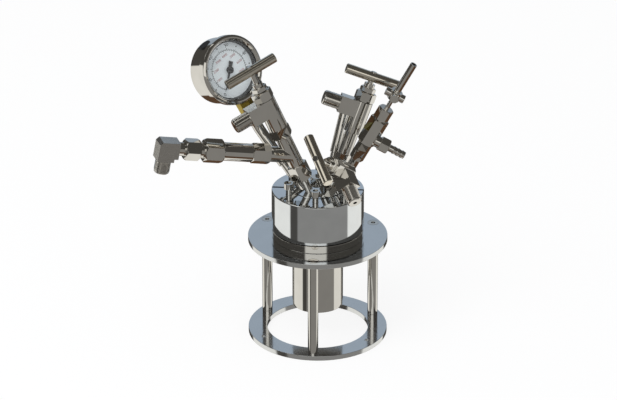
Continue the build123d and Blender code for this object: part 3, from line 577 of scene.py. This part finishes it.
class REACTOR_OT_vessel(ReactorOperator):
    """Vessel with its liner, gasket, thermowell and dip tube"""

    bl_idname = "reactor.vessel"
    bl_label = "Vessel"

    def execute(self, context):
        for node in ("vessel", "thermowell", "dip_tube"):
            dress(node, "polished_stainless_316")
        for node in ("liner", "gasket"):
            dress(node, "skived_ptfe")
        return {"FINISHED"}


class REACTOR_OT_clamp(ReactorOperator):
    """Split clamp, compression bolts, lid and the plug in it"""

    bl_idname = "reactor.clamp"
    bl_label = "Clamp and lid"

    def execute(self, context):
        dress("lid", "lapped_stainless_316")
        for node in ("clamp_half_front", "clamp_half_rear"):
            half = dress(node, "lapped_stainless_316")
            for vertex in half.data.vertices:
                if abs(vertex.co.y) < SLIT_REACH:
                    vertex.co.y += math.copysign(SLIT_WIDENING, vertex.co.y)
            # The faces of the halves inside the split get black paint: painted shade that darkens
            # the slit.
            second_finish(half, "sawn_stainless_316", lambda face: (
                abs(face.center.y) < SLIT_REACH + SLIT_WIDENING and abs(face.normal.y) > 0.6
            ))
        for node in ("compression_bolts", "lid_plug"):
            dress(node, "polished_stainless_316")
        return {"FINISHED"}


class REACTOR_OT_left_line(ReactorOperator):
    """Left riser: port connector, tee and nut under the left valve"""

    bl_idname = "reactor.left_line"
    bl_label = "Left riser"

    def execute(self, context):
        for node in ("left_port_connector", "left_riser_tee", "left_riser_nut"):
            dress(node, "polished_stainless_316")
        return {"FINISHED"}


class REACTOR_OT_relief_arm(ReactorOperator):
    """Relief arm: coupling, tube, burst disc union, holder and threaded elbow"""

    bl_idname = "reactor.relief_arm"
    bl_label = "Relief arm"

    def execute(self, context):
        for node, turn in (("arm_coupling", 7), ("arm_tube", 0), ("burst_disc_union_nut", 4.4),
                           ("burst_disc", 0), ("burst_disc_holder", 31)):
            dress(node, "polished_stainless_316", turn=turn)
        # The elbow gets darkened steel, which is painted shade, with a rougher forged finish.
        dress("arm_elbow", "forged_stainless_316")
        thread("arm_outlet_thread", MOUNTS["arm_outlet_thread"])
        return {"FINISHED"}


class REACTOR_OT_short_lines(ReactorOperator):
    """Right riser, front connector and the plugged spare port"""

    bl_idname = "reactor.short_lines"
    bl_label = "Right, front and spare ports"

    def execute(self, context):
        for node in ("right_port_connector", "right_riser", "front_port_connector",
                     "spare_port_tube", "spare_port_plug"):
            dress(node, "polished_stainless_316")
        return {"FINISHED"}


class REACTOR_OT_column(ReactorOperator):
    """Sampling column: tube, jacket, cap, cross, tip tube and hose barb"""

    bl_idname = "reactor.column"
    bl_label = "Sampling column"

    def execute(self, context):
        for node in ("column_tube", "column_jacket", "column_cap_nut", "cross_fitting",
                     "tip_tube", "hose_barb"):
            dress(node, "polished_stainless_316")
        return {"FINISHED"}


class REACTOR_OT_valves(ReactorOperator):
    """Bodies, bonnets, packing nuts, stems and outlet threads of the three needle valves"""

    bl_idname = "reactor.valves"
    bl_label = "Needle valves"

    def execute(self, context):
        for valve in VALVES:
            for part in ("body", "bonnet", "packing_nut", "stem"):
                dress(f"{valve}_valve_{part}", "polished_stainless_316")
            thread(f"{valve}_outlet_thread", MOUNTS[f"{valve}_outlet_thread"])
        return {"FINISHED"}


class REACTOR_OT_handles(ReactorOperator):
    """T-bar handles with the grub screw that holds each to its stem"""

    bl_idname = "reactor.handles"
    bl_label = "Handles"

    def execute(self, context):
        for valve in VALVES:
            node = f"{valve}_valve_handle"
            bar = dress(node, f"turned_stainless_303.{valve}", 0.5 * MM)
            joint = JOINTS[f"{valve}_handle_turn"]
            top = Vector(joint["axis"]).normalized()
            crown = max(vertex.co.dot(top) for vertex in bar.data.vertices)
            middle = Vector(joint["pos_m"])
            middle += (crown - middle.dot(top)) * top
            self.grub_screw(valve, facing(middle, top, MOUNTS[f"{valve}_outlet_thread"]["axis"]))
        return {"FINISHED"}

    def grub_screw(self, valve, place):
        """A dark grub screw: a disc with a sunk round socket, standing just above the bar."""
        shape = bmesh.new()
        disc = bmesh.ops.create_circle(shape, cap_ends=True, segments=24, radius=2.0 * MM)
        bmesh.ops.translate(shape, verts=disc["verts"], vec=(0, 0, -0.7 * MM))
        face = shape.faces[:]
        raised = bmesh.ops.extrude_face_region(shape, geom=face)
        top = [part for part in raised["geom"] if isinstance(part, bmesh.types.BMVert)]
        bmesh.ops.translate(shape, verts=top, vec=(0, 0, 0.85 * MM))
        crown = [part for part in raised["geom"] if isinstance(part, bmesh.types.BMFace)]
        bmesh.ops.inset_region(
            shape, faces=crown, thickness=0.75 * MM, depth=0, use_even_offset=True
        )
        bmesh.ops.translate(
            shape, verts=list({v for f in crown for v in f.verts}), vec=(0, 0, -0.6 * MM)
        )
        break_edges(shape, 0.12 * MM)
        shape.transform(place)
        name = f"{valve}_handle_screw"
        new_piece(name, mesh_from(shape, name), "nitrile_rubber", f"{valve}_handle")


class REACTOR_OT_gauge(ReactorOperator):
    """Gauge: riser, adaptor, brass socket, case, bezel, window, a black ring inside the bezel that
    is painted shade, and vent plug
    """

    bl_idname = "reactor.gauge"
    bl_label = "Gauge"

    def execute(self, context):
        for node in ("gauge_riser", "gauge_adaptor_nut", "gauge_case", "gauge_bezel"):
            dress(node, "polished_stainless_316")
        dress("gauge_socket", "tarnished_brass")
        dress("gauge_vent_plug", "nitrile_rubber")
        window = dress("gauge_glass", "instrument_glass", 0)
        window.visible_diffuse = window.visible_shadow = False
        # A black rubber ring just inside the bezel, round the window: painted shade and dark
        # reflection at the dial's rim.
        seal = turned_shape(
            [(27.9 * MM, 0.1 * MM), (31.2 * MM, 0.1 * MM), (31.2 * MM, 5.3 * MM),
             (28.3 * MM, 5.3 * MM)], 96
        )
        break_edges(seal, 0.2 * MM)
        seal.transform(dial_place())
        new_piece("gauge_window_shade_ring", mesh_from(seal, "gauge_window_shade_ring"), "nitrile_rubber",
                  "reactor")
        return {"FINISHED"}


def dial_place():
    """The matrix of the dial's face: Z out of it and Y towards twelve o'clock."""
    joint = JOINTS["gauge_pointer_turn"]
    out = Vector(joint["axis"]).normalized()
    level = max(vertex.co.dot(out) for vertex in frame["nodes"]["gauge_dial"].data.vertices)
    centre = Vector(joint["pos_m"])
    centre += (level - centre.dot(out)) * out
    up = (math.sin(GAUGE_LEAN) * math.cos(GAUGE_HEADING),
          math.sin(GAUGE_LEAN) * math.sin(GAUGE_HEADING), math.cos(GAUGE_LEAN))
    return facing(centre, out, up)


def on_dial(degrees, radius, turned=False):
    """The matrix of a mark that many degrees clockwise from twelve o'clock."""
    angle = math.radians(degrees)
    spot = Matrix.Translation((radius * math.sin(angle), radius * math.cos(angle), 0))
    return spot @ Matrix.Rotation(-angle, 4, "Z") if turned else spot


class REACTOR_OT_dial(ReactorOperator):
    """Dial with its printed arc, ticks, dots and two rings of figures, and the pointer"""

    bl_idname = "reactor.dial"
    bl_label = "Dial and pointer"

    def execute(self, context):
        shapes = settings()[1]
        dress("gauge_dial", "dial_paint_on_aluminium", 0)
        dress("gauge_pointer", "black_ink", 0.1 * MM)
        self.marks(shapes)
        self.outer_figures(shapes)
        self.inner_figures(shapes)
        return {"FINISHED"}

    def bar(self, shape, width, length, thickness, place):
        """A printed bar, added to the marks."""
        made = bmesh.ops.create_cube(shape, size=1)["verts"]
        bmesh.ops.scale(shape, verts=made, vec=(width, length, thickness))
        bmesh.ops.transform(shape, verts=made, matrix=place)

    def marks(self, shapes):
        """The arc, its ticks on both sides and a dot half way between the figures."""
        radius, ink = shapes.scale_radius, shapes.ink
        shape = bmesh.new()
        corners = [(-0.2 * MM, -ink / 2), (0.2 * MM, -ink / 2), (0.2 * MM, ink / 2),
                   (-0.2 * MM, ink / 2)]
        points = [shape.verts.new((0, radius + out, up)) for out, up in corners]
        face = shape.faces.new(points)
        bmesh.ops.transform(
            shape, verts=points, matrix=Matrix.Rotation(math.radians(-SCALE_START), 4, "Z")
        )
        bmesh.ops.spin(
            shape, geom=[face] + list(face.edges) + points, cent=(0, 0, 0), axis=(0, 0, -1),
            angle=math.radians(SCALE_SWEEP), steps=108, use_merge=False, use_duplicate=False,
        )
        for unit in range(OUTER_TOP + 1):
            whole = unit % 5 == 0
            length = (2.0 if whole else 1.3) * MM
            place = on_dial(SCALE_START + unit * SCALE_SWEEP / OUTER_TOP,
                            radius + length / 2, True)
            self.bar(shape, (0.5 if whole else 0.28) * MM, length, ink, place)
        for part in range(5 * INNER_FIGURES + 1):
            whole = part % 5 == 0
            length = (1.7 if whole else 1.1) * MM
            place = on_dial(SCALE_START + part * INNER_SPACING / 5, radius - length / 2, True)
            self.bar(shape, (0.45 if whole else 0.28) * MM, length, ink, place)
        for half in range(OUTER_TOP // OUTER_STEP):
            turn = SCALE_START + (half + 0.5) * SCALE_SWEEP * OUTER_STEP / OUTER_TOP
            bmesh.ops.create_cone(
                shape, cap_ends=True, segments=16, radius1=0.75 * MM, radius2=0.7 * MM,
                depth=ink, matrix=on_dial(turn, radius + 5 * MM),
            )
        shape.transform(dial_place() @ Matrix.Translation((0, 0, ink / 2)))
        new_piece("dial_scale", mesh_from(shape, "dial_scale"), "black_ink", "reactor",
                  sharp=PRINT_ANGLE)

    def outer_figures(self, shapes):
        """Black figures outside the arc."""
        shape = bmesh.new()
        for figure in range(0, OUTER_TOP + 1, OUTER_STEP):
            turn = SCALE_START + figure * SCALE_SWEEP / OUTER_TOP
            write_on(shape, str(figure), shapes.figure_height,
                     on_dial(turn, shapes.scale_radius + 5 * MM))
        shape.transform(dial_place() @ Matrix.Translation((0, 0, shapes.ink / 2)))
        new_piece("dial_outer_figures", mesh_from(shape, "dial_outer_figures"), "black_ink",
                  "reactor", sharp=PRINT_ANGLE)

    def inner_figures(self, shapes):
        """Red figures inside the arc."""
        shape = bmesh.new()
        for figure in range(1, INNER_FIGURES + 1):
            write_on(shape, str(figure * 1000), shapes.small_figure_height,
                     on_dial(SCALE_START + figure * INNER_SPACING,
                             shapes.scale_radius - 5 * MM))
        shape.transform(dial_place() @ Matrix.Translation((0, 0, shapes.ink / 2)))
        new_piece("dial_inner_figures", mesh_from(shape, "dial_inner_figures"), "red_ink",
                  "reactor", sharp=PRINT_ANGLE)


# ---------------------------------------------------------------------------------------
# Stage
# ---------------------------------------------------------------------------------------

# The studio that polished metal mirrors: things stood or hung round it in five plain paints.
# Each has the bearing of its middle to the right of the camera's side and half its width, in
# degrees, then the sine of its middle's height and half its reach, and its paint.
DARK_ROOM = "#4C4A46"
SOFT_BOX = "#F5F3EC"
GREY_CARD = "#8E8C88"
DAYLIGHT = "#A4B0BC"
WOOD = "#5C4634"
PANELS = {
    "paper_sheet": (0, 180, -1.0, 0.10, SOFT_BOX),
    "wooden_table": (0, 180, -0.70, 0.18, WOOD),
    "grey_backdrop": (15, 65, -0.20, 0.40, GREY_CARD),
    "left_soft_box": (-105, 30, -0.45, 0.40, SOFT_BOX),
    "right_soft_box": (110, 28, -0.35, 0.25, SOFT_BOX),
    "front_soft_box": (-5, 25, 0.40, 0.24, SOFT_BOX),
    "top_soft_box": (-75, 15, 0.85, 0.20, SOFT_BOX),
    "window": (180, 25, 0.20, 0.45, DAYLIGHT),
}
PANEL_EDGE = math.radians(4)
PANEL_RIM = 0.03


class REACTOR_OT_stage(ReactorOperator):
    """Studio: surroundings for the metal to mirror, floor, soft lamp and camera"""

    bl_idname = "reactor.stage"
    bl_label = "Stage"

    def execute(self, context):
        stage = settings()[2]
        self.surroundings(context, stage)
        self.floor(context, stage)
        self.lamp(context, stage)
        self.camera(context, stage)
        return {"FINISHED"}

    def surroundings(self, context, stage):
        """White to the camera and through glass, a painted studio to polished metal, and an
        even pale light to everything else."""
        world = bpy.data.worlds.new("Studio")
        context.scene.world = world
        world.use_nodes = True
        tree = world.node_tree
        tree.nodes.clear()
        towards = add_node(tree, "ShaderNodeTexCoord").outputs["Generated"]
        side = (math.cos(stage.azimuth), math.sin(stage.azimuth), 0)
        front = (math.sin(stage.azimuth), -math.cos(stage.azimuth), 0)
        sideways, forwards, height = (
            add_node(
                tree, "ShaderNodeVectorMath", {0: towards, 1: axis}, operation="DOT_PRODUCT"
            ).outputs["Value"]
            for axis in (side, front, (0, 0, 1))
        )
        angle = add_node(tree, "ShaderNodeMath", {0: sideways, 1: forwards}, operation="ARCTAN2")
        mirrored = linear(DARK_ROOM)
        for panel in PANELS.values():
            mirrored = self.panel(tree, angle.outputs[0], height, panel, mirrored)
        path = add_node(tree, "ShaderNodeLightPath")
        even = add_node(tree, "ShaderNodeMix", {
            0: path.outputs["Is Glossy Ray"], 6: shaded(linear("#FBFCFF"), stage.sky),
            7: mirrored,
        }, data_type="RGBA")
        clear = add_node(tree, "ShaderNodeMath", {
            0: path.outputs["Is Camera Ray"], 1: path.outputs["Is Transmission Ray"],
        }, operation="MAXIMUM")
        seen = add_node(tree, "ShaderNodeMix", {
            0: clear.outputs[0], 6: even.outputs[2], 7: linear("#FFFFFF"),
        }, data_type="RGBA")
        light = add_node(
            tree, "ShaderNodeBackground", {"Color": seen.outputs[2], "Strength": 1.0}
        )
        add_node(tree, "ShaderNodeOutputWorld", {"Surface": light.outputs[0]})

    def panel(self, tree, angle, height, panel, behind):
        """What lies behind a panel, with the soft-edged panel in front of it."""
        middle, half_width, level, reach, paint = panel
        aside = add_node(
            tree, "ShaderNodeMath", {0: angle, 1: math.radians(middle)}, operation="SUBTRACT"
        )
        turned = add_node(
            tree, "ShaderNodeMath", {0: aside.outputs[0], 1: math.pi, 2: -math.pi},
            operation="WRAP",
        )
        above = add_node(tree, "ShaderNodeMath", {0: height, 1: level}, operation="SUBTRACT")
        shares = []
        for offset, half, rim in ((turned, math.radians(half_width), PANEL_EDGE),
                                  (above, reach, PANEL_RIM)):
            distance = add_node(
                tree, "ShaderNodeMath", {0: offset.outputs[0]}, operation="ABSOLUTE"
            )
            shares.append(add_node(tree, "ShaderNodeMapRange", {
                "Value": distance.outputs[0], "From Min": half, "From Max": half + rim,
                "To Min": 1.0, "To Max": 0.0,
            }).outputs[0])
        inside = add_node(
            tree, "ShaderNodeMath", dict(enumerate(shares)), operation="MULTIPLY"
        )
        return add_node(
            tree, "ShaderNodeMix", {0: inside.outputs[0], 6: behind, 7: linear(paint)},
            data_type="RGBA",
        ).outputs[2]

    def floor(self, context, stage):
        """Pale painted floor: nearly white to the camera, with the reactor's shadow on it."""
        shape = bmesh.new()
        bmesh.ops.create_grid(shape, x_segments=8, y_segments=8, size=12)
        floor = bpy.data.objects.new("studio_floor", mesh_from(shape, "studio_floor"))
        paint = bpy.data.materials.new("floor_paint")
        paint.use_nodes = True
        tree = paint.node_tree
        tree.nodes.clear()
        coat = add_node(
            tree, "ShaderNodeBsdfDiffuse", {"Color": list(stage.floor), "Roughness": 0.6}
        )
        glow = add_node(
            tree, "ShaderNodeEmission", {"Color": linear("#FFFFFF"), "Strength": 1.0}
        )
        path = add_node(tree, "ShaderNodeLightPath")
        share = add_node(
            tree, "ShaderNodeMath", {0: path.outputs["Is Camera Ray"], 1: FLOOR_GLOW},
            operation="MULTIPLY",
        )
        mix = add_node(tree, "ShaderNodeMixShader", {
            0: share.outputs[0], 1: coat.outputs[0], 2: glow.outputs[0],
        })
        add_node(tree, "ShaderNodeOutputMaterial", {"Surface": mix.outputs[0]})
        floor.data.materials.append(paint)
        context.scene.collection.objects.link(floor)
        floor.visible_glossy = False

    def lamp(self, context, stage):
        """One large soft lamp above and to the left of the camera."""
        lamp = bpy.data.lights.new("soft_key", "AREA")
        lamp.shape = "DISK"
        lamp.size = 1.2
        lamp.energy = stage.key
        holder = bpy.data.objects.new("soft_key", lamp)
        context.scene.collection.objects.link(holder)
        spot = Vector(LAMP_SPOT)
        holder.location = spot
        holder.rotation_euler = (Vector(stage.target) - spot).to_track_quat("-Z", "Y").to_euler()
        holder.visible_glossy = False

    def camera(self, context, stage):
        """A long lens that looks down on the reactor."""
        lens = bpy.data.cameras.new("studio_camera")
        lens.lens = stage.lens
        lens.sensor_width = 36
        lens.clip_end = 30
        camera = bpy.data.objects.new("studio_camera", lens)
        context.scene.collection.objects.link(camera)
        away = Vector((math.cos(stage.elevation) * math.sin(stage.azimuth),
                       -math.cos(stage.elevation) * math.cos(stage.azimuth),
                       math.sin(stage.elevation)))
        camera.location = Vector(stage.target) + stage.distance * away
        camera.rotation_euler = away.to_track_quat("Z", "Y").to_euler()
        context.scene.camera = camera
        context.scene.view_settings.view_transform = "Standard"


# ---------------------------------------------------------------------------------------
# Panel and registration
# ---------------------------------------------------------------------------------------

PIECES = (
    REACTOR_OT_stand, REACTOR_OT_vessel, REACTOR_OT_clamp, REACTOR_OT_left_line,
    REACTOR_OT_relief_arm, REACTOR_OT_short_lines, REACTOR_OT_column, REACTOR_OT_valves,
    REACTOR_OT_handles, REACTOR_OT_gauge, REACTOR_OT_dial, REACTOR_OT_stage,
)
SETTINGS = (
    ("reactor_finishes", ReactorFinishSettings),
    ("reactor_shapes", ReactorShapeSettings),
    ("reactor_stage", ReactorStageSettings),
)


class REACTOR_PT_sidebar(bpy.types.Panel):
    """Lists the reactor's settings and the operators that build it"""

    bl_idname = "REACTOR_PT_sidebar"
    bl_label = "Hydrothermal Reactor"
    bl_space_type = "VIEW_3D"
    bl_region_type = "UI"
    bl_category = "Reactor"

    def draw(self, context):
        for name, group in SETTINGS:
            box = self.layout.box()
            for setting in group.__annotations__:
                box.prop(getattr(context.scene, name), setting)
        column = self.layout.column(align=True)
        for piece in PIECES:
            column.operator(piece.bl_idname)


def register():
    """Registers the settings, the operators and the panel."""
    for name, group in SETTINGS:
        bpy.utils.register_class(group)
        setattr(bpy.types.Scene, name, PointerProperty(type=group))
    for kind in PIECES + (REACTOR_PT_sidebar,):
        bpy.utils.register_class(kind)


def unregister():
    """Takes the settings, the operators and the panel away again."""
    for kind in (REACTOR_PT_sidebar,) + PIECES[::-1]:
        bpy.utils.unregister_class(kind)
    for name, group in SETTINGS[::-1]:
        delattr(bpy.types.Scene, name)
        bpy.utils.unregister_class(group)


def main():
    """Builds every piece and the stage."""
    register()
    for piece in PIECES:
        group, name = piece.bl_idname.split(".")
        getattr(getattr(bpy.ops, group), name)()


if __name__ == "__main__":
    main()
